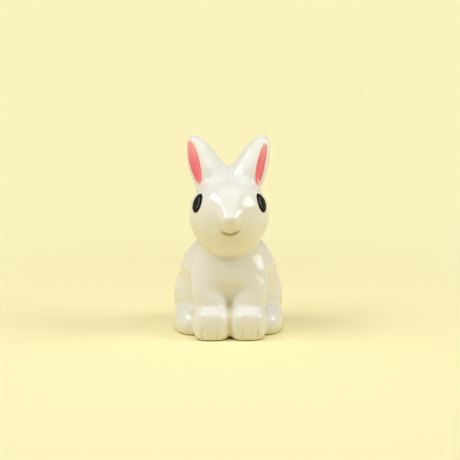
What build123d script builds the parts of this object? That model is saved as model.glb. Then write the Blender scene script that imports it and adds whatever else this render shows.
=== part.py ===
import os
from collections import namedtuple
from itertools import accumulate
from math import cos, radians, sin, sqrt

from build123d import *

# Seated ceramic rabbit. Millimetres, +Z up, origin in the middle of the footprint on the table.
# The face looks along -Y and the rabbit's left side is +X.

# Slip-cast walls and enamel
WALL = 2.8
VENT_DIAMETER = 3.2
ENAMEL = 0.35
FOOT_ROUNDING = 1.0

# Torso, in level sections; each step is counted from the section below
TorsoSection = namedtuple("TorsoSection", "step half_width front back")
BASE = TorsoSection(step=0.0, half_width=15.2, front=-12.0, back=17.0)
HIPS = TorsoSection(step=9.0, half_width=17.6, front=-12.5, back=19.3)
BELLY = TorsoSection(step=9.0, half_width=18.7, front=-14.2, back=17.6)
SHOULDERS = TorsoSection(step=9.0, half_width=16.9, front=-15.2, back=12.5)
NECK_HALF_WIDTH = 11.6
NECK_FRONT = -11.0
NECK_RISE = 6.7
NECK_INSET = 0.5

# Head, a ball drawn out towards the nose, with fuller temples
HEAD_STEP = 1.7
HEAD_RADIUS = 15.0
HEAD_FORWARD = 6.0
FACE_LENGTH = 15.4
NAPE_LENGTH = 14.3
QUARTER_TURN = 90.0
TEMPLE_HALF_WIDTH = 14.3
TEMPLE_HALF_LENGTH = 13.2
TEMPLE_HALF_HEIGHT = 10.0
TEMPLE_RISE = 4.5

# Snout: a broad bridge that slopes from the forehead down to the nose, in sections square to
# the slope, and the lip under it
SnoutSection = namedtuple("SnoutSection", "step half_width half_depth")
SNOUT_ROOT = SnoutSection(step=0.0, half_width=5.2, half_depth=3.7)
SNOUT_BROW = SnoutSection(step=2.5, half_width=7.9, half_depth=5.6)
SNOUT_BRIDGE = SnoutSection(step=2.5, half_width=8.7, half_depth=6.2)
SNOUT_MIDDLE = SnoutSection(step=5.0, half_width=6.5, half_depth=4.7)
SNOUT_NOSE = SnoutSection(step=5.6, half_width=3.9, half_depth=2.8)
NOSE_FRONT = SnoutSection(step=1.7, half_width=3.1, half_depth=2.2)
NOSE_TIP = SnoutSection(step=1.1, half_width=1.7, half_depth=1.3)
NOSE_ROUNDING = 0.7
SNOUT_FORWARD = 2.4
SNOUT_RISE = 10.6
SNOUT_SLOPE = 34.3
LIP_HALF_WIDTH = 4.3
LIP_LENGTH = 3.2
LIP_HALF_HEIGHT = 1.8
LIP_SINK = 1.9
LIP_DROP = 1.1

# Eyes, set in sockets on the sides of the face
EYE_TURN = 61.7
EYE_RISE = 28.7
EYE_HALF_WIDTH = 3.1
EYE_HALF_HEIGHT = 3.95
EYE_HALF_DEPTH = 1.1
EYE_BULGE = 0.4
EYE_LEAN = 14.0

# Ears, in level sections from the middle of the head
EarSection = namedtuple("EarSection", "step middle half_width setback half_depth")
EAR_ROOT = EarSection(step=4.0, middle=6.2, half_width=4.9, setback=6.2, half_depth=4.6)
EAR_WAIST = EarSection(step=7.3, middle=6.3, half_width=6.5, setback=8.0, half_depth=6.3)
EAR_FORK = EarSection(step=6.2, middle=7.5, half_width=7.6, setback=10.0, half_depth=6.4)
EAR_BLADE = EarSection(step=4.9, middle=9.9, half_width=6.0, setback=11.8, half_depth=5.2)
EAR_TAPER = EarSection(step=3.7, middle=11.4, half_width=4.6, setback=13.0, half_depth=3.9)
EAR_CREST = EarSection(step=2.8, middle=12.7, half_width=2.7, setback=13.9, half_depth=2.5)
EAR_TIP = EarSection(step=1.4, middle=13.3, half_width=1.4, setback=14.3, half_depth=1.3)
EAR_TIP_FLAT = 0.4
DISH_TURN = 48.0
DISH_STEP = 2.3
DISH_HALF_WIDTH = 4.6
DISH_HALF_HEIGHT = 40.0
DISH_HALF_DEPTH = 6.0
DISH_DEPTH = 1.3
DISH_LEAN = 25.0

# Forelegs, in level sections from inside the paw to the shoulder
LegSection = namedtuple("LegSection", "step middle half_width front back")
PASTERN = LegSection(step=4.5, middle=6.9, half_width=6.1, front=-16.8, back=-9.0)
PAW_TOP = LegSection(step=4.5, middle=7.0, half_width=6.3, front=-17.6, back=-8.5)
WRIST = LegSection(step=5.0, middle=7.4, half_width=6.4, front=-17.3, back=-8.0)
FOREARM = LegSection(step=4.5, middle=8.2, half_width=6.8, front=-16.6, back=-7.0)
UPPER_ARM = LegSection(step=6.5, middle=9.2, half_width=7.4, front=-13.8, back=-4.0)
ARMPIT = LegSection(step=5.0, middle=8.6, half_width=4.8, front=-7.5, back=-1.5)

# Paws: rounded blocks cut level at the table
PAW_GAP = 0.1
PAW_HALF_WIDTH = 6.85
PAW_HALF_LENGTH = 7.0
PAW_HALF_HEIGHT = 6.9
PAW_FRONT = -22.5
PAW_TOP_HEIGHT = 12.1
PAW_ROUNDING = 5.0
TOE_SPACING = 5.2
TOE_SHIFT = 0.7
TOE_GROOVE_HALF_WIDTH = 0.5
TOE_GROOVE_HALF_HEIGHT = 2.3
TOE_GROOVE_DEPTH = 0.8
TOE_GROOVE_RISE = 3.3

# Haunches
HAUNCH_HALF_WIDTH = 10.2
HAUNCH_HALF_LENGTH = 12.5
HAUNCH_HALF_HEIGHT = 13.5
HAUNCH_SINK = 7.1
HAUNCH_SETBACK = 6.0
HAUNCH_HEIGHT = 11.0

# Hind feet
FOOT_HALF_WIDTH = 7.3
FOOT_HALF_LENGTH = 13.0
FOOT_HALF_HEIGHT = 7.5
FOOT_SINK = 3.4
FOOT_SETBACK = -1.0
FOOT_MIDDLE_HEIGHT = 3.5

# Tail
TAIL_RADIUS = 5.2
TAIL_SINK = 0.3
TAIL_HEIGHT = 9.0

TORSO_SECTIONS = (BASE, HIPS, BELLY, SHOULDERS)
SNOUT_SECTIONS = (
    SNOUT_ROOT,
    SNOUT_BROW,
    SNOUT_BRIDGE,
    SNOUT_MIDDLE,
    SNOUT_NOSE,
    NOSE_FRONT,
    NOSE_TIP,
)
EAR_SECTIONS = (EAR_ROOT, EAR_WAIST, EAR_FORK, EAR_BLADE, EAR_TAPER, EAR_CREST, EAR_TIP)
LEG_SECTIONS = (PASTERN, PAW_TOP, WRIST, FOREARM, UPPER_ARM, ARMPIT)

head_seat = sum(section.step for section in TORSO_SECTIONS) + HEAD_STEP
head_middle = Vector(0, -HEAD_FORWARD, head_seat + HEAD_RADIUS)


def stacked(sections):
    """Pairs of a height and a section, with the steps added up from the first section."""
    return list(zip(accumulate(section.step for section in sections), sections))


def torso_form(wall):
    """The torso's skin, drawn in by the given wall. The neck ends inside the head."""
    neck_chord = sqrt(HEAD_RADIUS**2 - (HEAD_RADIUS - NECK_RISE) ** 2)
    neck = TorsoSection(
        step=HEAD_STEP + NECK_RISE,
        half_width=NECK_HALF_WIDTH,
        front=NECK_FRONT,
        back=neck_chord - HEAD_FORWARD - NECK_INSET,
    )
    with BuildPart() as form:
        for height, section in stacked((*TORSO_SECTIONS, neck)):
            half_depth = (section.back - section.front) / 2
            middle = (section.back + section.front) / 2
            with BuildSketch(Plane((0, middle, max(height, wall)))):
                Ellipse(section.half_width - wall, half_depth - wall)
        loft()
    return form.part


def head_form(growth):
    """The head's ball, drawn out towards the nose and grown by the given amount."""
    profile = Plane(head_middle, x_dir=(0, -1, 0), z_dir=(-1, 0, 0))
    radius = HEAD_RADIUS + growth
    with BuildPart() as form:
        with BuildSketch(profile):
            with BuildLine():
                EllipticalCenterArc((0, 0), FACE_LENGTH + growth, radius, 0, arc_size=QUARTER_TURN)
                EllipticalCenterArc(
                    (0, 0), NAPE_LENGTH + growth, radius, QUARTER_TURN, arc_size=QUARTER_TURN
                )
                Line((-NAPE_LENGTH - growth, 0), (FACE_LENGTH + growth, 0))
            make_face()
        revolve(axis=Axis(head_middle, (0, 1, 0)))
    return form.part


def snout_form():
    """The bridge of the snout with its rounded nose, starting inside the head."""
    way = Vector(0, -cos(radians(SNOUT_SLOPE)), -sin(radians(SNOUT_SLOPE)))
    root = head_middle + Vector(0, -SNOUT_FORWARD, SNOUT_RISE)
    with BuildPart() as form:
        for reach, section in stacked(SNOUT_SECTIONS):
            with BuildSketch(Plane(root + way * reach, x_dir=(1, 0, 0), z_dir=way)):
                Ellipse(section.half_width, section.half_depth)
        loft()
        fillet(form.edges().group_by(Axis.Y)[0], NOSE_ROUNDING)
    return form.part


def ear_form():
    """The left ear without its dish, ending inside the head."""
    with BuildPart() as form:
        for rise, section in stacked(EAR_SECTIONS):
            spot = head_middle + Vector(section.middle, section.setback, rise)
            with BuildSketch(Plane(spot)):
                Ellipse(section.half_width, section.half_depth)
        loft()
        fillet(form.edges().group_by(Axis.Z)[-1], EAR_TIP.half_width - EAR_TIP_FLAT)
        split(bisect_by=Plane.YZ, keep=Keep.TOP)
    return form.part


def paw_form():
    """The left paw, a block rounded on every edge and cut level at the table."""
    middle = (PAW_GAP / 2 + PAW_HALF_WIDTH, PAW_FRONT + PAW_HALF_LENGTH, PAW_TOP_HEIGHT - PAW_HALF_HEIGHT)
    with BuildPart() as form:
        with Locations(middle):
            Box(2 * PAW_HALF_WIDTH, 2 * PAW_HALF_LENGTH, 2 * PAW_HALF_HEIGHT)
        fillet(form.edges(), PAW_ROUNDING)
        split(bisect_by=Plane.XY, keep=Keep.TOP)
    return form.part


def foreleg_form():
    """The left foreleg as a full column on its paw, running into the chest."""
    with BuildPart() as form:
        for height, section in stacked(LEG_SECTIONS):
            middle = (section.front + section.back) / 2
            with BuildSketch(Plane((section.middle, middle, height))):
                Ellipse(section.half_width, (section.back - section.front) / 2)
        loft()
        add(paw_form())
    return form.part


def ellipsoid(place, half_x, half_y, half_z):
    """An ellipsoid with its three half axes along the given plane."""
    with BuildPart() as form:
        Sphere(1)
        scale(by=(half_x, half_y, half_z))
    return place * form.part


def surface_plane(form, start, direction):
    """The tangent plane where a ray leaves a form: Z outward, Y as near upward as it goes."""
    spot, outward = form.find_intersection_points(Axis(start, direction))[-1]
    return Plane(spot, x_dir=Vector(0, 0, 1).cross(outward), z_dir=outward)


torso_skin = torso_form(0)
head_skin = head_form(0)
foreleg_skin = foreleg_form()
ear_skin = ear_form()
temple_skin = ellipsoid(
    Plane(head_middle + Vector(0, 0, TEMPLE_RISE)),
    TEMPLE_HALF_WIDTH,
    TEMPLE_HALF_LENGTH,
    TEMPLE_HALF_HEIGHT,
)
snout_skin = snout_form()
lip_spot = head_middle + Vector(0, LIP_SINK - FACE_LENGTH, -LIP_DROP)
lip_skin = ellipsoid(Plane(lip_spot), LIP_HALF_WIDTH, LIP_LENGTH, LIP_HALF_HEIGHT)

# Eyes: domes of enamel sunk into the sides of the face
eye_direction = Vector(
    sin(radians(EYE_TURN)) * cos(radians(EYE_RISE)),
    -cos(radians(EYE_TURN)) * cos(radians(EYE_RISE)),
    sin(radians(EYE_RISE)),
)
eye_seat = surface_plane(head_skin + temple_skin, head_middle, eye_direction)
eye_place = eye_seat.offset(EYE_BULGE - EYE_HALF_DEPTH) * Rotation(0, 0, -EYE_LEAN)
eye_skin = ellipsoid(eye_place, EYE_HALF_WIDTH, EYE_HALF_HEIGHT, EYE_HALF_DEPTH)

with BuildPart() as left_eye:
    add(eye_skin)
left_eye.part.label = "left_eye"

with BuildPart() as right_eye:
    mirror(left_eye.part, about=Plane.YZ)
right_eye.part.label = "right_eye"

# Head: a hollow ball with the snout, the lip, the eye sockets and the vent to the torso
neck_vent = Location((0, -HEAD_FORWARD, head_seat)) * Cylinder(VENT_DIAMETER / 2, 4 * WALL)

with BuildPart() as head_casting:
    add(head_skin)
    add(temple_skin)
    add(snout_skin)
    add(lip_skin)
    add(head_form(-WALL), mode=Mode.SUBTRACT)
    add(neck_vent, mode=Mode.SUBTRACT)
    add(left_eye.part, mode=Mode.SUBTRACT)
    add(right_eye.part, mode=Mode.SUBTRACT)
head_casting.part.label = "head_casting"

# Torso: a hollow casting with a cup for the head and a vent in the base
with BuildPart() as torso_casting:
    add(torso_skin)
    fillet(torso_casting.edges().group_by(Axis.Z)[0], FOOT_ROUNDING)
    add(head_skin, mode=Mode.SUBTRACT)
    add(torso_form(WALL) - head_form(WALL), mode=Mode.SUBTRACT)
    add(neck_vent, mode=Mode.SUBTRACT)
    Cylinder(VENT_DIAMETER / 2, 4 * WALL, mode=Mode.SUBTRACT)
torso_casting.part.label = "torso_casting"

# Ears: solid blades with a dish that faces outward and a little forward
fork_rise = EAR_ROOT.step + EAR_WAIST.step + EAR_FORK.step
dish_share = DISH_STEP / EAR_BLADE.step
dish_start = head_middle + Vector(
    EAR_FORK.middle + dish_share * (EAR_BLADE.middle - EAR_FORK.middle),
    EAR_FORK.setback + dish_share * (EAR_BLADE.setback - EAR_FORK.setback),
    fork_rise + DISH_STEP,
)
dish_direction = Vector(cos(radians(DISH_TURN)), -sin(radians(DISH_TURN)), 0)
dish_seat = surface_plane(ear_skin, dish_start, dish_direction) * Rotation(0, 0, -DISH_LEAN)
dish_place = dish_seat * Location((0, 0, DISH_HALF_DEPTH - DISH_DEPTH))
dish = ellipsoid(dish_place, DISH_HALF_WIDTH, DISH_HALF_HEIGHT, DISH_HALF_DEPTH)
dish_face_place = dish_place * Location((0, 0, ENAMEL))
dish_face = ellipsoid(dish_face_place, DISH_HALF_WIDTH, DISH_HALF_HEIGHT, DISH_HALF_DEPTH)

with BuildPart() as left_ear:
    add(ear_skin)
    add(head_skin, mode=Mode.SUBTRACT)
    add(temple_skin, mode=Mode.SUBTRACT)
    add(dish, mode=Mode.SUBTRACT)
left_ear.part.label = "left_ear"

with BuildPart() as right_ear:
    mirror(left_ear.part, about=Plane.YZ)
right_ear.part.label = "right_ear"

# Ear linings: a thin coat of enamel in each dish
with BuildPart() as left_ear_lining:
    add(ear_skin)
    add(dish, mode=Mode.INTERSECT)
    add(dish_face, mode=Mode.SUBTRACT)
    add(head_skin, mode=Mode.SUBTRACT)
    add(temple_skin, mode=Mode.SUBTRACT)
left_ear_lining.part.label = "left_ear_lining"

with BuildPart() as right_ear_lining:
    mirror(left_ear_lining.part, about=Plane.YZ)
right_ear_lining.part.label = "right_ear_lining"

# Forelegs: columns against the chest, with two toe grooves in each paw
toe_middle = PAW_GAP / 2 + PAW_HALF_WIDTH + TOE_SHIFT
paw_middle = PAW_FRONT + PAW_HALF_LENGTH
toe_spots = [
    surface_plane(foreleg_skin, (x, paw_middle, TOE_GROOVE_RISE), (0, -1, 0))
    for x in (toe_middle - TOE_SPACING / 2, toe_middle + TOE_SPACING / 2)
]
toe_grooves = [
    ellipsoid(spot, TOE_GROOVE_HALF_WIDTH, TOE_GROOVE_HALF_HEIGHT, TOE_GROOVE_DEPTH)
    for spot in toe_spots
]

with BuildPart() as left_foreleg:
    add(foreleg_skin)
    add(torso_skin, mode=Mode.SUBTRACT)
    add(head_skin, mode=Mode.SUBTRACT)
    add(toe_grooves, mode=Mode.SUBTRACT)
left_foreleg.part.label = "left_foreleg"

with BuildPart() as right_foreleg:
    mirror(left_foreleg.part, about=Plane.YZ)
right_foreleg.part.label = "right_foreleg"

# Haunches: rounded thighs on the sides of the torso
haunch_spot = (HIPS.half_width - HAUNCH_SINK, HAUNCH_SETBACK, HAUNCH_HEIGHT)
haunch_skin = ellipsoid(
    Plane(haunch_spot), HAUNCH_HALF_WIDTH, HAUNCH_HALF_LENGTH, HAUNCH_HALF_HEIGHT
)

with BuildPart() as left_haunch:
    add(haunch_skin)
    split(bisect_by=Plane.XY, keep=Keep.TOP)
    add(torso_skin, mode=Mode.SUBTRACT)
    add(foreleg_skin, mode=Mode.SUBTRACT)
left_haunch.part.label = "left_haunch"

with BuildPart() as right_haunch:
    mirror(left_haunch.part, about=Plane.YZ)
right_haunch.part.label = "right_haunch"

# Hind feet: long flat feet under the haunches
foot_spot = (HIPS.half_width - FOOT_SINK, FOOT_SETBACK, FOOT_MIDDLE_HEIGHT)
foot_skin = ellipsoid(Plane(foot_spot), FOOT_HALF_WIDTH, FOOT_HALF_LENGTH, FOOT_HALF_HEIGHT)

with BuildPart() as left_hind_foot:
    add(foot_skin)
    split(bisect_by=Plane.XY, keep=Keep.TOP)
    fillet(left_hind_foot.edges().group_by(Axis.Z)[0], FOOT_ROUNDING)
    add(torso_skin, mode=Mode.SUBTRACT)
    add(haunch_skin, mode=Mode.SUBTRACT)
    add(foreleg_skin, mode=Mode.SUBTRACT)
left_hind_foot.part.label = "left_hind_foot"

with BuildPart() as right_hind_foot:
    mirror(left_hind_foot.part, about=Plane.YZ)
right_hind_foot.part.label = "right_hind_foot"

# Tail: a ball on the back
with BuildPart() as tail:
    with Locations((0, HIPS.back - TAIL_SINK, TAIL_HEIGHT)):
        Sphere(TAIL_RADIUS)
    add(torso_skin, mode=Mode.SUBTRACT)
tail.part.label = "tail"

os.makedirs("parts", exist_ok=True)
for piece in (
    torso_casting,
    head_casting,
    left_ear,
    right_ear,
    left_ear_lining,
    right_ear_lining,
    left_eye,
    right_eye,
    left_foreleg,
    right_foreleg,
    left_haunch,
    right_haunch,
    left_hind_foot,
    right_hind_foot,
    tail,
):
    export_step(piece.part, f"parts/{piece.part.label}.step")
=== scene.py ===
import bpy
import numpy as np
from mathutils import Matrix, Vector


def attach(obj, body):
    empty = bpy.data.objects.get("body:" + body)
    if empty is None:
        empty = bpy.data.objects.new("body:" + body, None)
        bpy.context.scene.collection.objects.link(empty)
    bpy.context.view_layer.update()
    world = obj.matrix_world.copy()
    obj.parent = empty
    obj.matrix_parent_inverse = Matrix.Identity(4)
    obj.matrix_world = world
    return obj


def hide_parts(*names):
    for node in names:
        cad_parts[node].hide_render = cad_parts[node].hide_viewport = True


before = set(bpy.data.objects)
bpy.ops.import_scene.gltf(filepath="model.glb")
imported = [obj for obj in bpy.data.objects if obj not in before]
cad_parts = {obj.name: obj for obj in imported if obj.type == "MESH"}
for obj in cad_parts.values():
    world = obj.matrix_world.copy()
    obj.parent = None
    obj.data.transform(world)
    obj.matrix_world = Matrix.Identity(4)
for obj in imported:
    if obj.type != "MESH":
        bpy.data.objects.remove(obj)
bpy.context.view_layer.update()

# The rabbit's forms are worked out in millimetres and put into the meshes in metres.
# The face looks along -Y, and the rabbit's left side is +X.
MM = 0.001
FAR = 1000.0

# Head: a ball that narrows to the chin, with temples, a bridge and a lip
HEAD = np.array((0.0, -6.0, 43.7))
HEAD_RADIUS, FACE_LENGTH, NAPE_LENGTH = 15.0, 14.8, 14.3
CHIN_NARROWING, CHEEK_LEVEL, CHIN_LEVEL = 1.5, 44.0, 32.0
TEMPLES, TEMPLE_HALVES = HEAD + (0, 0, 4.5), (14.0, 13.0, 10.0)
BROW, BROW_RADIUS = HEAD + (0, -4.6, 7.0), 7.0
NOSE, NOSE_RADIUS = HEAD + (0, -15.5, 2.6), 2.6
BRIDGE_SPREAD = (1.25, 1, 1)
LIP, LIP_HALVES = HEAD + (0, -12.8, -1.4), (4.3, 3.2, 1.7)

# Smile: a crease under the lip
SMILE_LEVEL, SMILE_RISE, SMILE_REACH = 40.8, 1.7, 3.8
SMILE_WIDTH, SMILE_DEPTH, SMILE_CORNER = 0.6, 1.0, (4.8, 2.0)

# Eyes, on the sides of the face
EYE_WAY, EYE_LEAN = (11.9, -6.4, 7.4), -14.0
EYE_HALF_WIDTH, EYE_HALF_HEIGHT = 2.9, 3.85
EYE_DOME, EYE_DEPTH = 0.42, 0.3
EYE_RING_AT, EYE_RING_WIDTH, EYE_RING_DEPTH = 0.55, 0.06, 0.09
EYE_ROWS, EYE_COLUMNS = 26, 120

# The dish on the outer side of the left ear, and the enamel that lines it
DISH_START, DISH_WAY, DISH_LEAN = HEAD + (8.6, 10.85, 19.8), (0.67, -0.743, 0.0), -25.0
DISH_HALVES, DISH_DEPTH = (4.6, 40.0, 6.0), 1.3
LINING_COAT, LINING_EDGE, LINING_DEPTH = 0.035, 0.004, 0.2
LINING_ROWS, LINING_COLUMNS = 34, 140

# Body, legs and tail
CHEST, CHEST_HALVES = np.array((0.0, -3.6, 24.0)), (11.0, 11.6, 16.0)
PAW, PAW_HALVES, PAW_POWER = np.array((6.85, -15.5, 5.2)), (6.95, 7.0, 6.9), 2.8
TOE_GROOVES, TOE_WIDTH, TOE_DEPTH = (5.0, 10.2), 0.55, 0.5
TOE_TOP, TOE_BOTTOM, FRONT = (6.0, 3.6), (0.6, 2.0), (-14, -17)
HAUNCH, HAUNCH_HALVES = np.array((10.4, 6.0, 12.0)), (10.8, 12.5, 14.5)
HIND_FOOT, HIND_FOOT_HALVES = np.array((14.2, -1.0, 3.5)), (7.3, 13.0, 7.5)
TAIL, TAIL_RADIUS = np.array((0.0, 19.0, 9.0)), 5.18

# How near the fields of two forms have to be for the crease between them to fill
TEMPLE_CREASE, BRIDGE_CREASE, LIP_CREASE = 5.0, 4.0, 2.8
EAR_FORK_CREASE, EAR_ROOT_CREASE, NECK_CREASE = 4.0, 4.5, 1.8
CHEST_CREASE, PAW_CREASE = 4.0, 3.0
HAUNCH_CREASE, FOOT_CREASE, TAIL_CREASE = 2.6, 2.0, 2.5
DISH_ROUNDING, TABLE_ROUNDING = 1.0, 1.2

# The forelegs' creases: the least reach, what it gains higher up, and the heights between which it gains.
# Next to the chest, on the legs' inner sides, the gain starts lower.
BETWEEN_LEGS, BETWEEN_LEGS_GAIN, BETWEEN_LEGS_HEIGHTS = 4.0, 6.0, (11, 21)
SHOULDER, SHOULDER_GAIN, SHOULDER_HEIGHTS = 2.0, 8.0, (19, 26)
INNER_SIDE, INNER_SIDE_HEIGHTS = (14.5, 9.0), (13, 23)

# Rays from inside a form to its skin
RAY_END, STRIDES, HALVINGS = 80.0, 80, 12
SHORTEST_STRIDE, LONGEST_STRIDE, STRIDE_SHARE = 0.02, 2.5, 0.8

# A casting dips this far under a neighbour's skin, over this difference of their fields
TUCK, TUCK_WIDTH = 0.12, 0.6
CREASE_PROBE = 1.5
ENAMEL_START = 4.0


def smooth_step(low, high, value):
    """0 at low, 1 at high, and 3t^2 - 2t^3 between them, with t the share of the way."""
    t = np.clip((value - low) / (high - low), 0, 1)
    return t * t * (3 - 2 * t)


def bell(distance, width):
    """A Gaussian: e to the minus square of the distance over the width."""
    return np.exp(-((distance / width) ** 2))


def full_turn(count):
    """Angles in even steps all the way round."""
    return 2 * np.pi * np.arange(count) / count


def soft_min(a, b, reach):
    """The lower of two fields less a cubic of how near they are, which fills the crease between two forms."""
    near = np.maximum(reach - np.abs(a - b), 0) / reach
    return np.minimum(a, b) - near**3 * reach / 6


def soft_max(a, b, reach):
    """The higher of two fields plus the same cubic, which rounds the edge of a cut."""
    return -soft_min(-a, -b, reach)


def ellipsoid(points, middle, halves, axes=None):
    """k (k - 1) / m: k is the point's length over the half sizes, and m its length over their squares."""
    q = points - middle
    if axes is not None:
        q = q @ np.asarray(axes).T
    q = q / halves
    k = np.linalg.norm(q, axis=-1)
    return k * (k - 1) / np.maximum(np.linalg.norm(q / halves, axis=-1), 1e-6)


def rounded_block(points, middle, halves, power):
    """(k - 1) over the length of its gradient: k is the root of the sum of the scaled sides' powers."""
    q = np.abs(points - middle) / halves
    k = np.maximum((q**power).sum(-1), 1e-9) ** (1 / power)
    slope = np.linalg.norm(q ** (power - 1) / halves, axis=-1) * k ** (1 - power)
    return (k - 1) / np.maximum(slope, 1e-6)


def round_cone(points, start, end, start_radius, end_radius):
    """Distance to two balls and the cone that touches both: the cone's own side where the nearest point lies
    on it, and otherwise the nearer ball."""
    run = end - start
    length = np.linalg.norm(run)
    along = (points - start) @ run / length
    radial = np.sqrt(np.maximum(((points - start) ** 2).sum(-1) - along**2, 0))
    sine = (start_radius - end_radius) / length
    cosine = np.sqrt(1 - sine**2)
    place = cosine * along - sine * radial
    side = cosine * radial + sine * along - start_radius
    first = np.hypot(radial, along) - start_radius
    last = np.hypot(radial, along - length) - end_radius
    return np.where(place < 0, first, np.where(place > cosine * length, last, side))


class Column:
    """A form of level ellipses. The middles and half sizes follow natural cubic splines in height, and the
    field is that of an ellipse at the point's own height. Both ends are flat cuts with rounded edges."""

    def __init__(self, sections, rounding):
        table = np.array(sections, float)
        self.z, self.sizes, self.rounding = table[:, 0], table[:, 1:], rounding
        count, gaps = len(table), np.diff(self.z)
        lines, loads = np.eye(count), np.zeros_like(self.sizes)
        inner = np.arange(1, count - 1)
        lines[inner, inner - 1], lines[inner, inner + 1] = gaps[:-1], gaps[1:]
        lines[inner, inner] = 2 * (gaps[:-1] + gaps[1:])
        loads[1:-1] = 6 * np.diff(np.diff(self.sizes, axis=0) / gaps[:, None], axis=0)
        self.bends = np.linalg.solve(lines, loads)

    def __call__(self, points):
        height = points[..., 2]
        z = np.clip(height, self.z[0], self.z[-1])
        i = np.clip(np.searchsorted(self.z, z) - 1, 0, len(self.z) - 2)
        gap = (self.z[i + 1] - self.z[i])[..., None]
        a = (self.z[i + 1] - z)[..., None] / gap
        b = 1 - a
        sizes = a * self.sizes[i] + b * self.sizes[i + 1]
        sizes = sizes + ((a**3 - a) * self.bends[i] + (b**3 - b) * self.bends[i + 1]) * gap**2 / 6
        side = ellipsoid(points[..., :2], sizes[..., :2], sizes[..., 2:])
        ends = np.maximum(self.z[0] - height, height - self.z[-1])
        return soft_max(side, ends, self.rounding)


def level(z, half_width, front, back, middle=0.0):
    """A level ellipse: its height, its middle in x and y, and its half sizes."""
    return z, middle, (front + back) / 2, half_width, (back - front) / 2


torso_column = Column(
    [
        level(0, 15.2, -12.0, 17.0),
        level(9, 16.6, -12.6, 19.3),
        level(18, 18.4, -12.2, 17.6),
        level(27, 17.8, -11.0, 12.5),
        level(35.4, 11.6, -11.0, 6.0),
    ],
    rounding=1.5,
)
leg_column = Column(
    [
        level(0, 6.2, -17.0, -8.5, 6.9),
        level(9, 6.3, -17.6, -8.5, 7.0),
        level(14, 6.3, -17.3, -8.0, 7.5),
        level(18.5, 5.8, -15.8, -7.0, 8.7),
        level(25, 6.4, -12.4, -4.0, 7.6),
        level(31, 4.4, -8.4, -1.5, 6.4),
    ],
    rounding=2.5,
)

# Ear, counted from the middle of the head: height, middle in x and y, half width and half depth
EAR_SECTIONS = np.array(
    [
        (4.0, 6.2, 6.2, 4.9, 4.6),
        (11.3, 6.3, 8.0, 6.5, 6.3),
        (17.5, 7.5, 10.0, 7.6, 6.4),
        (22.4, 9.9, 11.8, 6.0, 5.2),
        (26.1, 11.4, 13.0, 4.6, 3.9),
        (28.9, 12.7, 13.9, 2.7, 2.5),
        (30.3, 13.3, 14.3, 1.4, 1.3),
    ]
)
ear_column = Column(EAR_SECTIONS + (HEAD[2], 0, HEAD[1], 0, 0), rounding=2.2)


def slope_of(field, points, step=0.02):
    """The unit gradient of a field, from differences over a small step along each axis."""
    shifts = np.eye(3) * step
    slope = np.stack([field(points + s) - field(points - s) for s in shifts], -1)
    return slope / np.maximum(np.linalg.norm(slope, axis=-1, keepdims=True), 1e-9)


def first_crossing(field, origins, directions):
    """How far along each ray the field first turns positive: strides of a share of the field while it is
    negative, then halving between the last stride inside and the first outside."""
    low, high = np.zeros(len(origins)), np.full(len(origins), RAY_END)
    left, reach = np.arange(len(origins)), np.zeros(len(origins))
    for _ in range(STRIDES):
        value = field(origins[left] + reach[left, None] * directions[left])
        inside = value < 0
        low[left[inside]], high[left[~inside]] = reach[left[inside]], reach[left[~inside]]
        left = left[inside]
        if not len(left):
            break
        reach[left] += np.clip(-STRIDE_SHARE * value[inside], SHORTEST_STRIDE, LONGEST_STRIDE)
    for _ in range(HALVINGS):
        middle = (low + high) / 2
        inside = field(origins + middle[:, None] * directions) < 0
        low, high = np.where(inside, middle, low), np.where(inside, high, middle)
    return (low + high) / 2


def seat_on(field, start, direction, lean):
    """Where a ray leaves a form, and the across, upward and outward directions of the plane that touches it
    there, turned about the outward one by a lean in degrees."""
    start, direction = np.asarray(start, float)[None], np.asarray(direction, float)[None]
    spot = start + first_crossing(field, start, direction)[:, None] * direction
    out = slope_of(field, spot)[0]
    side = np.cross((0, 0, 1), out) / np.hypot(out[0], out[1])
    up = np.cross(out, side)
    c, s = np.cos(np.radians(lean)), np.sin(np.radians(lean))
    return spot[0], np.array((c * side + s * up, c * up - s * side, out))


def across(points):
    """The same points on the other side of the rabbit."""
    return points * (-1, 1, 1)


def head(points):
    """A ball that narrows to the chin, with a longer face than nape, fuller temples, a broad bridge that
    slopes down to the nose, and a lip."""
    length = np.where(points[..., 1] < HEAD[1], FACE_LENGTH, NAPE_LENGTH)
    width = HEAD_RADIUS - CHIN_NARROWING * smooth_step(CHEEK_LEVEL, CHIN_LEVEL, points[..., 2])
    ball = ellipsoid(points, HEAD, np.stack([width, length, np.full_like(length, HEAD_RADIUS)], -1))
    temples = ellipsoid(points, TEMPLES, TEMPLE_HALVES)
    bridge = round_cone(points / BRIDGE_SPREAD, BROW, NOSE, BROW_RADIUS, NOSE_RADIUS)
    face = soft_min(soft_min(ball, temples, TEMPLE_CREASE), bridge, BRIDGE_CREASE)
    return soft_min(face, ellipsoid(points, LIP, LIP_HALVES), LIP_CREASE)


dish_spot, DISH_AXES = seat_on(ear_column, DISH_START, DISH_WAY, DISH_LEAN)
DISH = dish_spot + (DISH_HALVES[2] - DISH_DEPTH) * DISH_AXES[2]


def ear(points):
    """The ear's column with the dish scooped out of its outer side."""
    dish = ellipsoid(points, DISH, DISH_HALVES, DISH_AXES)
    return soft_max(ear_column(points), -dish, DISH_ROUNDING)


def torso(points):
    """The body's column with the chest that stands out between the shoulders."""
    return soft_min(torso_column(points), ellipsoid(points, CHEST, CHEST_HALVES), CHEST_CREASE)


def foreleg(points):
    """The leg's column on a blocky paw, with a soft crease over the paw's top."""
    return soft_min(leg_column(points), rounded_block(points, PAW, PAW_HALVES, PAW_POWER), PAW_CREASE)


def haunch(points):
    """A rounded thigh."""
    return ellipsoid(points, HAUNCH, HAUNCH_HALVES)


def hind_foot(points):
    """A long flat foot."""
    return ellipsoid(points, HIND_FOOT, HIND_FOOT_HALVES)


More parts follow.
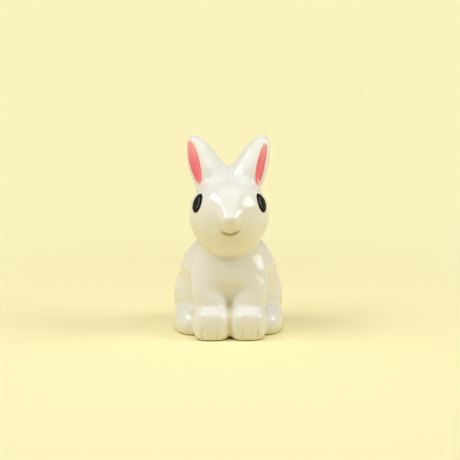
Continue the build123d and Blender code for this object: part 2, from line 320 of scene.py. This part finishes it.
FORMS = {
    "torso_casting": torso,
    "head_casting": head,
    "left_ear": ear,
    "right_ear": lambda points: ear(across(points)),
    "left_foreleg": foreleg,
    "right_foreleg": lambda points: foreleg(across(points)),
    "left_haunch": haunch,
    "right_haunch": lambda points: haunch(across(points)),
    "left_hind_foot": hind_foot,
    "right_hind_foot": lambda points: hind_foot(across(points)),
    "tail": lambda points: np.linalg.norm(points - TAIL, axis=-1) - TAIL_RADIUS,
}


def fields(points, names):
    """The field of each named form, and far away for the others."""
    away = np.full(points.shape[:-1], FAR)
    return {name: form(points) if name in names else away for name, form in FORMS.items()}


def on_front(y):
    """1 on the front of the face and paws, and 0 behind it."""
    return smooth_step(*FRONT, y)


def toe_grooves(points):
    """Shallow upright grooves in each paw, Gaussian across and fading out upward and downward."""
    x, y, z = np.abs(points[..., 0]), points[..., 1], points[..., 2]
    grooves = sum(bell(x - middle, TOE_WIDTH) for middle in TOE_GROOVES)
    return TOE_DEPTH * grooves * smooth_step(*TOE_TOP, z) * smooth_step(*TOE_BOTTOM, z) * on_front(y)


def smile_groove(points):
    """A crease that follows a parabola under the lip, Gaussian across and fading out at its corners."""
    x, y, z = points[..., 0], points[..., 1], points[..., 2]
    line = SMILE_LEVEL + SMILE_RISE * (x / SMILE_REACH) ** 2
    gap = (z - line) / np.sqrt(1 + (2 * SMILE_RISE * x / SMILE_REACH**2) ** 2)
    return SMILE_DEPTH * bell(gap, SMILE_WIDTH) * smooth_step(*SMILE_CORNER, np.abs(x)) * on_front(y)


def glazed_skin(points, f):
    """All forms joined with soft creases, as the glaze fills them, less the grooves and cut level at the
    table. The forelegs go over into each other and the chest more softly the higher they are."""
    x, z = np.abs(points[..., 0]), points[..., 2]
    body = f["torso_casting"]
    for side in ("left", "right"):
        body = soft_min(body, f[side + "_haunch"], HAUNCH_CREASE)
        body = soft_min(body, f[side + "_hind_foot"], FOOT_CREASE)
    body = soft_min(body, f["tail"], TAIL_CREASE)
    reach = BETWEEN_LEGS + BETWEEN_LEGS_GAIN * smooth_step(*BETWEEN_LEGS_HEIGHTS, z)
    legs = soft_min(f["left_foreleg"], f["right_foreleg"], reach)
    inner_side = smooth_step(*INNER_SIDE, x) * smooth_step(*INNER_SIDE_HEIGHTS, z)
    gain = np.maximum(inner_side, smooth_step(*SHOULDER_HEIGHTS, z))
    body = soft_min(body, legs, SHOULDER + SHOULDER_GAIN * gain)
    ears = soft_min(f["left_ear"], f["right_ear"], EAR_FORK_CREASE)
    upper = soft_min(f["head_casting"], ears, EAR_ROOT_CREASE)
    skin = soft_min(body, upper, NECK_CREASE) + toe_grooves(points) + smile_groove(points)
    return soft_max(skin, -z, TABLE_ROUNDING)


def skin_over(names):
    """The field of the glazed skin over the named forms alone."""
    return lambda points: glazed_skin(points, fields(points, names))


def put_object(name, data):
    """A new object in the scene, at the origin."""
    holder = bpy.data.objects.new(name, data)
    bpy.context.scene.collection.objects.link(holder)
    return holder


def put_mesh(name, points, quads, triangles, normals, **marks):
    """A mesh object from arrays of points, four- and three-cornered faces, normals and named point values."""
    mesh = bpy.data.meshes.new(name)
    mesh.vertices.add(len(points))
    mesh.vertices.foreach_set("co", (points * MM).astype(np.float32).ravel())
    corners = np.concatenate([quads.ravel(), triangles.ravel()])
    mesh.loops.add(len(corners))
    mesh.loops.foreach_set("vertex_index", corners.astype(np.int32))
    starts = np.concatenate([np.arange(len(quads)) * 4, quads.size + np.arange(len(triangles)) * 3])
    mesh.polygons.add(len(starts))
    mesh.polygons.foreach_set("loop_start", starts.astype(np.int32))
    mesh.update(calc_edges=True)
    mesh.shade_smooth()
    mesh.normals_split_custom_set_from_vertices(normals.tolist())
    for mark, values in marks.items():
        mesh.attributes.new(mark, "FLOAT", "POINT").data.foreach_set("value", values.astype(np.float32))
    return put_object(name, mesh)


def ring_faces(rows, columns):
    """Faces of a stack of closed rings between a bottom and a top pole, all turned outward."""
    at = np.arange(rows * columns).reshape(rows, columns) + 1
    nxt = np.roll(at, -1, axis=1)
    quads = np.stack([at[:-1], nxt[:-1], nxt[1:], at[1:]], -1).reshape(-1, 4)
    bottom, top = np.zeros(columns, int), np.full(columns, rows * columns + 1)
    triangles = np.concatenate([np.stack([bottom, nxt[0], at[0]], -1), np.stack([at[-1], nxt[-1], top], -1)])
    return quads, triangles


def cast_piece(name, names, low, high, margin, rows, columns):
    """One casting: rays leave a line between two points, turning from straight down to straight up along it,
    and stop at the glazed skin, or a margin beyond the casting's own form where it runs on inside its
    neighbours."""
    low, high = np.asarray(low, float), np.asarray(high, float)
    axis = (high - low) / np.linalg.norm(high - low)
    side = np.cross((0, 1, 0) if abs(axis[1]) < 0.8 else (0, 0, 1), axis)
    side /= np.linalg.norm(side)
    share = np.arange(rows + 2) / (rows + 1)
    climb = np.pi * (share[1:-1] - 0.5)
    turn = full_turn(columns)
    spoke = np.cos(turn)[:, None] * side + np.sin(turn)[:, None] * np.cross(axis, side)
    rays = np.cos(climb)[:, None, None] * spoke + np.sin(climb)[:, None, None] * axis
    directions = np.concatenate([-axis[None], rays.reshape(-1, 3), axis[None]])
    origins = low + (high - low) * np.concatenate([[0], np.repeat(share[1:-1], columns), [1]])[:, None]

    def casting(points):
        f = fields(points, names)
        others = np.min([f[n] for n in names if n != name], axis=0)
        tuck = TUCK * np.clip((f[name] - others) / TUCK_WIDTH, 0, 1)
        return np.maximum(glazed_skin(points, f) + tuck, f[name] - margin)

    points = origins + first_crossing(casting, origins, directions)[:, None] * directions
    points[:, 2] = np.maximum(points[:, 2], 0)
    form, skin = FORMS[name], skin_over(names)
    cut = (form(points) - margin > skin(points) + 0.01)[:, None]
    normals = np.where(cut, slope_of(form, points), slope_of(skin, points))
    crease = np.clip(1 - skin(points + CREASE_PROBE * normals) / CREASE_PROBE, 0, 1)
    return put_mesh(name, points, *ring_faces(rows, columns), normals, crease=crease)


def enamel(name, names, seat, outline, lift, depth, rows, columns):
    """A patch of enamel: an outline in the plane that touches the skin, drawn in towards the middle ring by
    ring, dropped along the plane's normal on to the skin, with a raised top, a sunk back and a closed rim."""
    spot, (side, up, outward) = seat
    share = np.sin(np.pi / 2 * np.arange(1, rows + 1) / rows)
    flat = np.concatenate([[[0, 0]], (share[:, None, None] * outline(full_turn(columns))).reshape(-1, 2)])
    rho = np.concatenate([[0], np.repeat(share, columns)])
    origins = spot - ENAMEL_START * outward + flat[:, :1] * side + flat[:, 1:] * up
    directions = np.broadcast_to(outward, origins.shape)
    skin = skin_over(names)
    base = origins + first_crossing(skin, origins, directions)[:, None] * directions
    normals = slope_of(skin, base)
    raised, sunk = base + lift(rho)[:, None] * normals, base - depth * normals
    top, under, back = (layer[1:].reshape(rows, columns, 3) for layer in (raised, sunk, -normals))
    points = np.concatenate([sunk[:1], np.concatenate([under, top[::-1]]).reshape(-1, 3), raised[:1]])
    inner = np.concatenate([np.broadcast_to(raised[0], (1, columns, 3)), top[:-1]])
    outer = np.concatenate([top[1:], top[-1:]])
    face_up = np.cross(outer - inner, np.roll(top, -1, 1) - np.roll(top, 1, 1))
    face_up /= np.maximum(np.linalg.norm(face_up, axis=-1, keepdims=True), 1e-12)
    turned = np.concatenate([back, face_up[::-1]]).reshape(-1, 3)
    shown = np.concatenate([-normals[:1], turned, normals[:1]])
    rings = np.concatenate([share, share[::-1]])
    marks = {
        "rim": np.concatenate([[0], np.repeat(rings, columns), [0]]),
        "height": (points - spot) @ up,
        "aside": (points - spot) @ side,
    }
    return put_mesh(name, points, *ring_faces(2 * rows, columns), shown, **marks)


def turned_over(piece):
    """The piece moved to the other side of the rabbit, with its faces turned round to point outward."""
    mesh = piece.data
    points = np.empty((len(mesh.vertices), 3), np.float32)
    mesh.vertices.foreach_get("co", points.ravel())
    corners = np.empty((len(mesh.loops), 3), np.float32)
    mesh.corner_normals.foreach_get("vector", corners.ravel())
    corner_points = np.empty(len(mesh.loops), np.int32)
    mesh.loops.foreach_get("vertex_index", corner_points)
    shown = np.zeros((len(mesh.vertices), 3), np.float32)
    shown[corner_points] = corners
    mesh.vertices.foreach_set("co", across(points).astype(np.float32).ravel())
    mesh.flip_normals()
    mesh.normals_split_custom_set_from_vertices(across(shown).tolist())
    return piece


def mirrored(piece, name):
    """A copy of the piece on the other side of the rabbit."""
    copy = put_object(name, piece.data.copy())
    copy.data.name = name
    return turned_over(copy)


def eye_outline(turn):
    """An oval."""
    return np.stack([EYE_HALF_WIDTH * np.cos(turn), EYE_HALF_HEIGHT * np.sin(turn)], -1)


def eye_lift(rho):
    """A dome, a power of the root of 1 - rho^2, with a narrow Gaussian ring pressed into it."""
    dome = EYE_DOME * np.sqrt(np.maximum(1 - rho**2, 0)) ** 0.8
    return dome - EYE_RING_DEPTH * bell(rho - EYE_RING_AT, EYE_RING_WIDTH)


def leaf(aside, lean, bow, half_width, taper, middle, half_length):
    """The outline of a leaf, across and along the ear: an oval that tapers upward, and whose middle line
    leans and bows."""

    def outline(turn):
        up = np.sin(turn)
        line = aside + lean * up + bow * up**2
        return np.stack([line + half_width * (1 - taper * up) * np.cos(turn), middle + half_length * up], -1)

    return outline


def lining_lift(rho):
    """A thin even coat, the root of 1 - rho^4, that thins to almost nothing at its rim."""
    return LINING_COAT * np.sqrt(np.maximum(1 - rho**4, 0)) + LINING_EDGE


# Each ear's lining is brushed on by hand, the right one fuller
LEAVES = {
    "left_ear_lining": leaf(0.1, 0.5, 0.6, half_width=2.1, taper=0.15, middle=0.5, half_length=9.7),
    "right_ear_lining": leaf(0.75, 0.5, 0.2, half_width=2.5, taper=0.0, middle=1.5, half_length=10.0),
}

# Each casting: the forms it meets, the ends of its core line, its margin, and its rows and columns
HEAD_AND_EARS = ["head_casting", "left_ear", "right_ear"]
TRUNK = ["torso_casting", "left_foreleg", "right_foreleg"]
LEFT = [*TRUNK, "left_haunch", "left_hind_foot"]
BODY = [*LEFT, "right_haunch", "right_hind_foot", "tail", "head_casting"]
UPPER = [*HEAD_AND_EARS, *TRUNK]
CASTINGS = (
    ("torso_casting", BODY, (0, 1.5, 9), (0, 0.5, 25), 4.5, 220, 300),
    ("head_casting", UPPER, HEAD + (0, -0.5, -3), HEAD + (0, -0.5, 3), 2.5, 220, 300),
    ("left_ear", UPPER, HEAD + (6.4, 7.6, 9.5), HEAD + (12.6, 13.8, 28), 2.5, 200, 200),
    ("left_foreleg", [*LEFT, "head_casting"], (6.9, -15, 4.5), (8.8, -9.5, 25), 2.4, 210, 210),
    ("left_haunch", LEFT, HAUNCH + (3, 0, -2), HAUNCH + (3, 0, 2), 2.4, 160, 200),
    ("left_hind_foot", LEFT, HIND_FOOT + (0, 7, 0), HIND_FOOT - (0, 7, 0), 1.6, 140, 180),
    ("tail", ["torso_casting", "tail"], TAIL - (0, 0, 1), TAIL + (0, 0, 1), 1.2, 80, 120),
)
eye_seat = seat_on(head, HEAD, EYE_WAY / np.linalg.norm(EYE_WAY), EYE_LEAN)
lining_seat = seat_on(ear, DISH_START, DISH_WAY, DISH_LEAN)

pieces = {casting[0]: cast_piece(*casting) for casting in CASTINGS}
pieces["left_eye"] = enamel(
    "left_eye", ["head_casting"], eye_seat, eye_outline, eye_lift, EYE_DEPTH, EYE_ROWS, EYE_COLUMNS
)
for name, outline in LEAVES.items():
    pieces[name] = enamel(
        name, HEAD_AND_EARS, lining_seat, outline, lining_lift, LINING_DEPTH, LINING_ROWS, LINING_COLUMNS
    )
pieces["right_ear_lining"] = turned_over(pieces["right_ear_lining"])

for node in [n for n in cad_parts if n.startswith("right_") and n not in pieces]:
    pieces[node] = mirrored(pieces[node.replace("right_", "left_")], node)


class Value:
    """A socket of a material. Operators between values and numbers add Math nodes."""

    def __init__(self, finish, socket):
        self.finish, self.socket = finish, socket

    def math(self, operation, *terms):
        """A Math node's result."""
        return self.finish.node("ShaderNodeMath", {"operation": operation}, dict(enumerate(terms)))

    def __add__(self, other):
        return self.math("ADD", self, other)

    __radd__ = __add__

    def __sub__(self, other):
        return self.math("SUBTRACT", self, other)

    def __rsub__(self, other):
        return self.math("SUBTRACT", other, self)

    def __mul__(self, other):
        return self.math("MULTIPLY", self, other)

    __rmul__ = __mul__

    def clipped(self):
        """Held between 0 and 1."""
        return self.math("MINIMUM", self.math("MAXIMUM", self, 0.0), 1.0)

    def between(self, low, high):
        """A smooth step from 0 at low to 1 at high."""
        settings = {"interpolation_type": "SMOOTHSTEP"}
        inputs = {"Value": self, "From Min": low, "From Max": high}
        return self.finish.node("ShaderNodeMapRange", settings, inputs)


class Finish:
    """The nodes of a material or a world."""

    def __init__(self, tree):
        self.tree = tree
        tree.nodes.clear()

    def node(self, kind, settings=None, inputs=None, output=0):
        """A node of any type: its settings come first, then the values or links of its sockets."""
        node = self.tree.nodes.new(kind)
        for key, setting in (settings or {}).items():
            setattr(node, key, setting)
        for key, value in (inputs or {}).items():
            if isinstance(value, Value):
                self.tree.links.new(value.socket, node.inputs[key])
            else:
                node.inputs[key].default_value = value
        return Value(self, node.outputs[output])

    def place(self):
        """The point on the piece, in metres."""
        return self.node("ShaderNodeTexCoord", output="Object")

    def part_of(self, vector, axis):
        """One coordinate of a vector."""
        return self.node("ShaderNodeSeparateXYZ", inputs={"Vector": vector}, output=axis)

    def mark(self, name):
        """A value kept at the piece's points."""
        return self.node("ShaderNodeAttribute", {"attribute_name": name}, output="Fac")

    def ray(self, kind):
        """1 for one kind of ray."""
        return self.node("ShaderNodeLightPath", output=kind)

    def noise(self, size, detail):
        """Noise with blobs of about this size in millimetres."""
        inputs = {"Vector": self.place(), "Scale": 1 / (size * MM), "Detail": detail}
        return self.node("ShaderNodeTexNoise", inputs=inputs)

    def mix(self, share, first, second):
        """One colour or the other, by share."""
        return self.node("ShaderNodeMix", {"data_type": "RGBA"}, {0: share, 6: first, 7: second}, output=2)

    def bump(self, height, strength):
        """A normal bent by a height map a millimetre deep."""
        return self.node("ShaderNodeBump", inputs={"Height": height, "Strength": strength, "Distance": MM})

    def surface(self, shader, output="ShaderNodeOutputMaterial"):
        """The shader joined to the output."""
        self.tree.links.new(shader.socket, self.tree.nodes.new(output).inputs["Surface"])

    def glossy(self, colour, roughness, normal, more=()):
        """A glassy coat, with any further sockets of its shader."""
        inputs = {"Base Color": colour, "Roughness": roughness, "IOR": GLASS_IOR, "Normal": normal}
        self.surface(self.node("ShaderNodeBsdfPrincipled", inputs={**inputs, **dict(more)}))


def new_finish(name):
    """An empty material and its nodes."""
    material = bpy.data.materials.new(name)
    material.use_nodes = True
    return material, Finish(material.node_tree)


GLASS_IOR = 1.5
WHITE = (0.86, 0.85, 0.79, 1)
POOLED = (0.73, 0.66, 0.44, 1)
BISQUE = (0.74, 0.69, 0.60, 1)
PINK = (0.95, 0.205, 0.235, 1)
PEACH = (0.98, 0.37, 0.34, 1)
BLACK = (0.006, 0.006, 0.007, 1)
SOFT_BLACK = (0.012, 0.012, 0.013, 1)
GREY = (0.27, 0.27, 0.25, 1)


def white_glaze():
    """Milk-white glaze: it pools warmer in creases, waves a little, and leaves the foot dry."""
    material, m = new_finish("white_glaze")
    dry = 1 - m.part_of(m.place(), "Z").between(0.05 * MM, 0.4 * MM)
    cloud = m.noise(9.0, 3.0)
    pooled = (m.mark("crease").between(0.12, 0.80) + (cloud - 0.5) * 0.25).clipped()
    colour = m.mix(dry, m.mix(pooled, WHITE, POOLED), BISQUE)
    waves = m.noise(6.0, 1.0) + 0.12 * m.noise(1.2, 1.0)
    m.glossy(colour, 0.11 + 0.03 * cloud + 0.45 * dry, m.bump(waves, 0.08))
    return material


def pink_enamel():
    """Pink enamel, brushed on: peach towards the tip, deeper low down, and thinning to white at its rim."""
    material, m = new_finish("pink_enamel")
    cloud = m.noise(2.2, 2.0)
    rim = (m.mark("rim") + (cloud - 0.5) * 0.12).between(0.80, 0.99)
    tip = (m.mark("height") + (cloud - 0.5) * 2.0).between(0.0, 8.0)
    colour = m.mix(rim, m.mix(tip, PINK, PEACH), WHITE)
    m.glossy(colour, 0.10 + 0.05 * cloud, m.bump(m.noise(4.0, 1.0), 0.08))
    return material


def black_enamel():
    """Black enamel with a high gloss and a faintly uneven face, thin and grey over the ring's nose side."""
    material, m = new_finish("black_enamel")
    cloud = m.noise(1.5, 2.0)
    ring = m.mark("rim").between(0.48, 0.55) * (1 - m.mark("rim").between(0.55, 0.62))
    worn = ring * (1 - m.mark("aside").between(-1.3, -0.2))
    colour = m.mix(worn, m.mix(cloud, BLACK, SOFT_BLACK), GREY)
    m.glossy(colour, 0.05 + 0.04 * cloud, m.bump(m.noise(3.0, 1.0), 0.05), {"Specular IOR Level": 0.1})
    return material


finishes = {"white_glaze": white_glaze(), "pink_enamel": pink_enamel(), "black_enamel": black_enamel()}
ENAMELS = {"lining": "pink_enamel", "eye": "black_enamel"}

for node, piece in pieces.items():
    slot = ENAMELS.get(node.split("_")[-1], "white_glaze")
    piece.data.materials.clear()
    piece.data.materials.append(finishes[slot])
    piece.name = node.replace("_casting", "") + "_glazed" if slot == "white_glaze" else node + "_enamel"
    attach(piece, "root")
    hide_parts(node)

# Floor: a wide sheet of pale yellow paper
PAPER = (0.966, 0.896, 0.515, 1)
WARM_PAPER = (0.966, 0.835, 0.41, 1)
FLOOR_RADIUS, FLOOR_DROP = 6000.0, 0.03
SHADOW_REACH, BACKDROP_START = 0.08, 0.22


def paper():
    """Matt paper near the rabbit, which takes its shadow, going over to an even backdrop of the same colour
    for rays from the camera and for mirrored or refracted ones."""
    material, m = new_finish("paper")
    away = m.node("ShaderNodeVectorMath", {"operation": "LENGTH"}, {0: m.place()}, output="Value")
    matt = m.node("ShaderNodeBsdfDiffuse", inputs={"Color": m.mix(m.ray("Is Camera Ray"), WARM_PAPER, PAPER)})
    even = m.node("ShaderNodeEmission", inputs={"Color": PAPER, "Strength": 1.0})
    seen = m.ray("Is Camera Ray")
    for kind in ("Is Glossy Ray", "Is Transmission Ray"):
        seen = seen.math("MAXIMUM", seen, m.ray(kind))
    backdrop = away.between(SHADOW_REACH, BACKDROP_START) * seen
    m.surface(m.node("ShaderNodeMixShader", inputs={0: backdrop, 1: matt, 2: even}))
    return material


def paper_disc(rows=40, columns=96):
    """Rings whose radii grow with the square of their number, joined at the middle."""
    rings = FLOOR_RADIUS * (np.arange(1, rows + 1) / rows) ** 2
    turn = full_turn(columns)
    ring = np.stack([np.cos(turn), np.sin(turn)], -1)
    flat = np.concatenate([[[0, 0]], (rings[:, None, None] * ring).reshape(-1, 2)])
    points = np.column_stack([flat, np.full(len(flat), -FLOOR_DROP)])
    at = np.arange(rows * columns).reshape(rows, columns) + 1
    nxt = np.roll(at, -1, axis=1)
    quads = np.stack([at[:-1], at[1:], nxt[1:], nxt[:-1]], -1).reshape(-1, 4)
    triangles = np.stack([np.zeros(columns, int), at[0], nxt[0]], -1)
    return put_mesh("paper_floor", points, quads, triangles, np.tile((0.0, 0.0, 1.0), (len(points), 1)))


floor = paper_disc()
floor.data.materials.append(paper())

# World: the even backdrop for the camera, and dimmer sweeps of it in the glaze and for the light
LOW_FRONT = (0.28, 0.26, 0.19, 1)
LOW_BACK, TOP = (0.38, 0.31, 0.12, 1), (0.24, 0.24, 0.24, 1)
MIRRORED_BACK, MIRRORED_TOP = (0.60, 0.54, 0.30, 1), (0.22, 0.22, 0.22, 1)

world = bpy.data.worlds.new("studio")
bpy.context.scene.world = world
world.use_nodes = True
w = Finish(world.node_tree)
way = w.node("ShaderNodeTexCoord", output="Generated")
high = w.part_of(way, "Z").between(0.05, 0.7)
behind = w.part_of(way, "Y").between(-0.5, 0.3)
light_sweep = w.mix(high, w.mix(behind, LOW_FRONT, LOW_BACK), TOP)
mirrored_sweep = w.mix(high, w.mix(behind, LOW_FRONT, MIRRORED_BACK), MIRRORED_TOP)
sweep = w.mix(w.ray("Is Glossy Ray"), light_sweep, mirrored_sweep)
backdrop = w.mix(w.ray("Is Camera Ray"), sweep, PAPER)
sky = w.node("ShaderNodeBackground", inputs={"Color": backdrop, "Strength": 1.0})
w.surface(sky, "ShaderNodeOutputWorld")

AIM = Vector((0.0005, 0.0, 0.0384))


def look_back(holder, way, distance):
    """Sets an object this far from the aim in a direction, turned to face it."""
    turned = way.to_track_quat("Z", "Y").to_matrix().to_4x4()
    holder.matrix_world = Matrix.Translation(AIM + way * distance) @ turned


def softbox(name, way, distance, width, height, watts):
    """A rectangular lamp that faces the rabbit."""
    lamp = bpy.data.lights.new(name, "AREA")
    lamp.shape, lamp.size, lamp.size_y, lamp.energy = "RECTANGLE", width, height, watts
    look_back(put_object(name, lamp), Vector(way).normalized(), distance)


softbox("right_softbox", (0.78, -0.16, 0.58), 0.8, 0.32, 0.34, 2.1)
softbox("left_softbox", (-0.58, -0.17, 0.82), 0.8, 0.42, 0.18, 1.8)
softbox("left_panel", (-1.0, -0.20, 0.50), 0.9, 0.6, 0.8, 1.2)
softbox("overhead_panel", (0.0, -0.24, 1.0), 0.9, 0.9, 0.6, 3.35)

# Camera: a long lens a little above the rabbit. A pixel spans about 0.38 mm there.
YAW, CLIMB, DISTANCE = np.radians(1.4), np.radians(11.0), 0.6
SENSOR, PICTURE_WIDTH = 36.0, 460 * 0.3845 * MM

camera = bpy.data.cameras.new("camera")
camera.sensor_width = SENSOR
camera.lens = SENSOR * DISTANCE / PICTURE_WIDTH
camera.clip_start, camera.clip_end = 0.01, 50.0
viewer = put_object("camera", camera)
back_way = Vector((-np.sin(YAW) * np.cos(CLIMB), -np.cos(YAW) * np.cos(CLIMB), np.sin(CLIMB)))
look_back(viewer, back_way, DISTANCE)
bpy.context.scene.camera = viewer

bpy.context.scene.view_settings.view_transform = "Standard"
